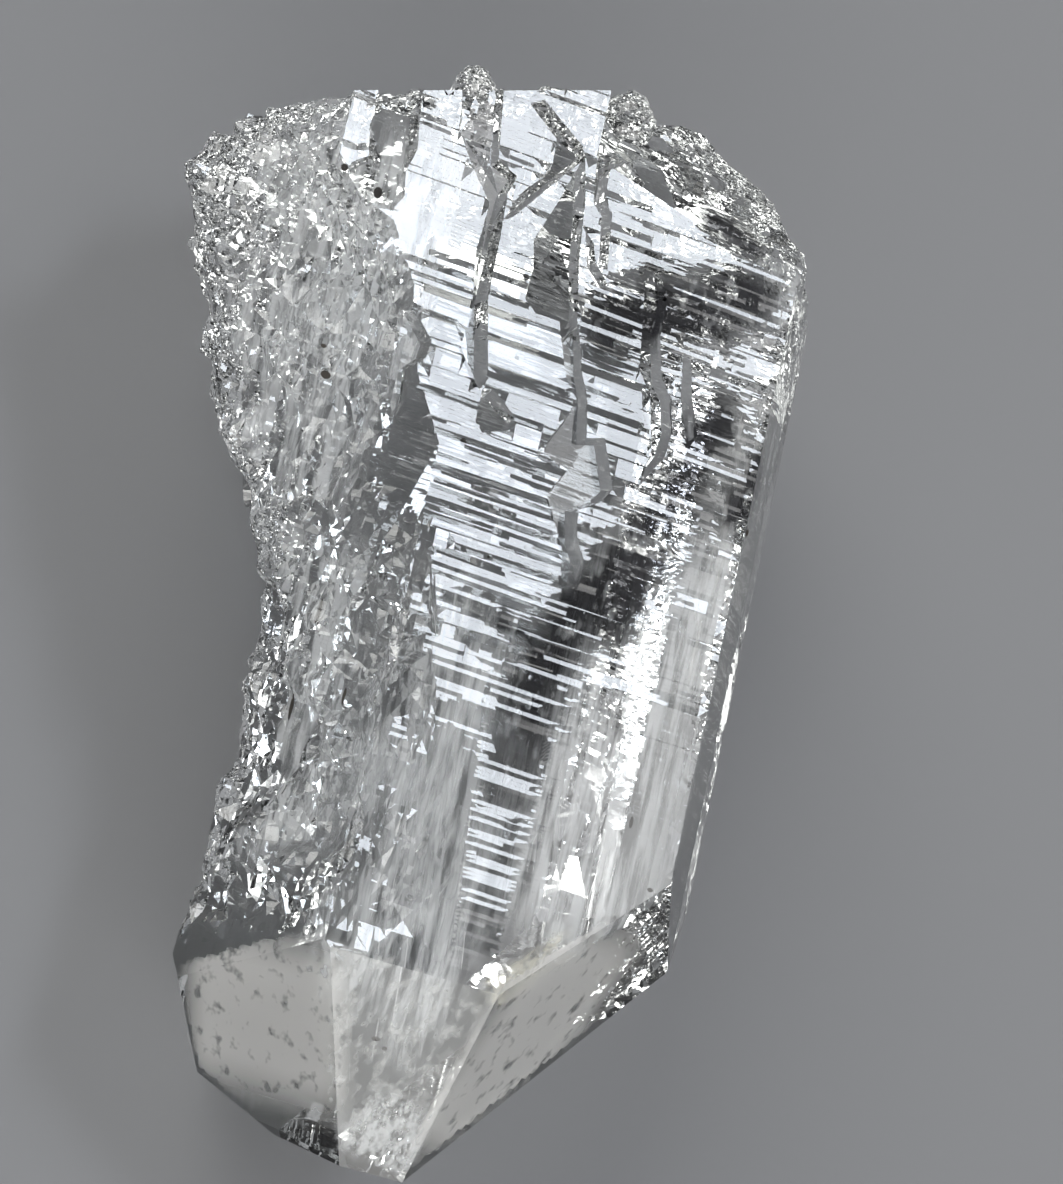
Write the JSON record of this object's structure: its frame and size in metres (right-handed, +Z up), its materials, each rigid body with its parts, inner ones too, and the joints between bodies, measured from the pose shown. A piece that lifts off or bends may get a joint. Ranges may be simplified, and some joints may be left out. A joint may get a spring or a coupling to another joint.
{
  "type": "etched quartz crystal",
  "caption": "Clear etched quartz crystal lying on a prism face: natural point, striated front face cut by winding channels, rough etched side growth.",
  "frame": {"origin": "on the surface that the crystal lies on, under the middle of its bounding box", "axes": "+Y along the crystal from its point to its etched end, +X across it, +Z up out of its striated front face"},
  "size_m": [0.046, 0.0722, 0.024],
  "materials": {
    "quartz": "clear, slightly hazy quartz with bright striated growth faces and a frosted, glittering etched side"
  },
  "bodies": {
    "root": {"quartz_crystal": "quartz"}
  },
  "joints": []
}
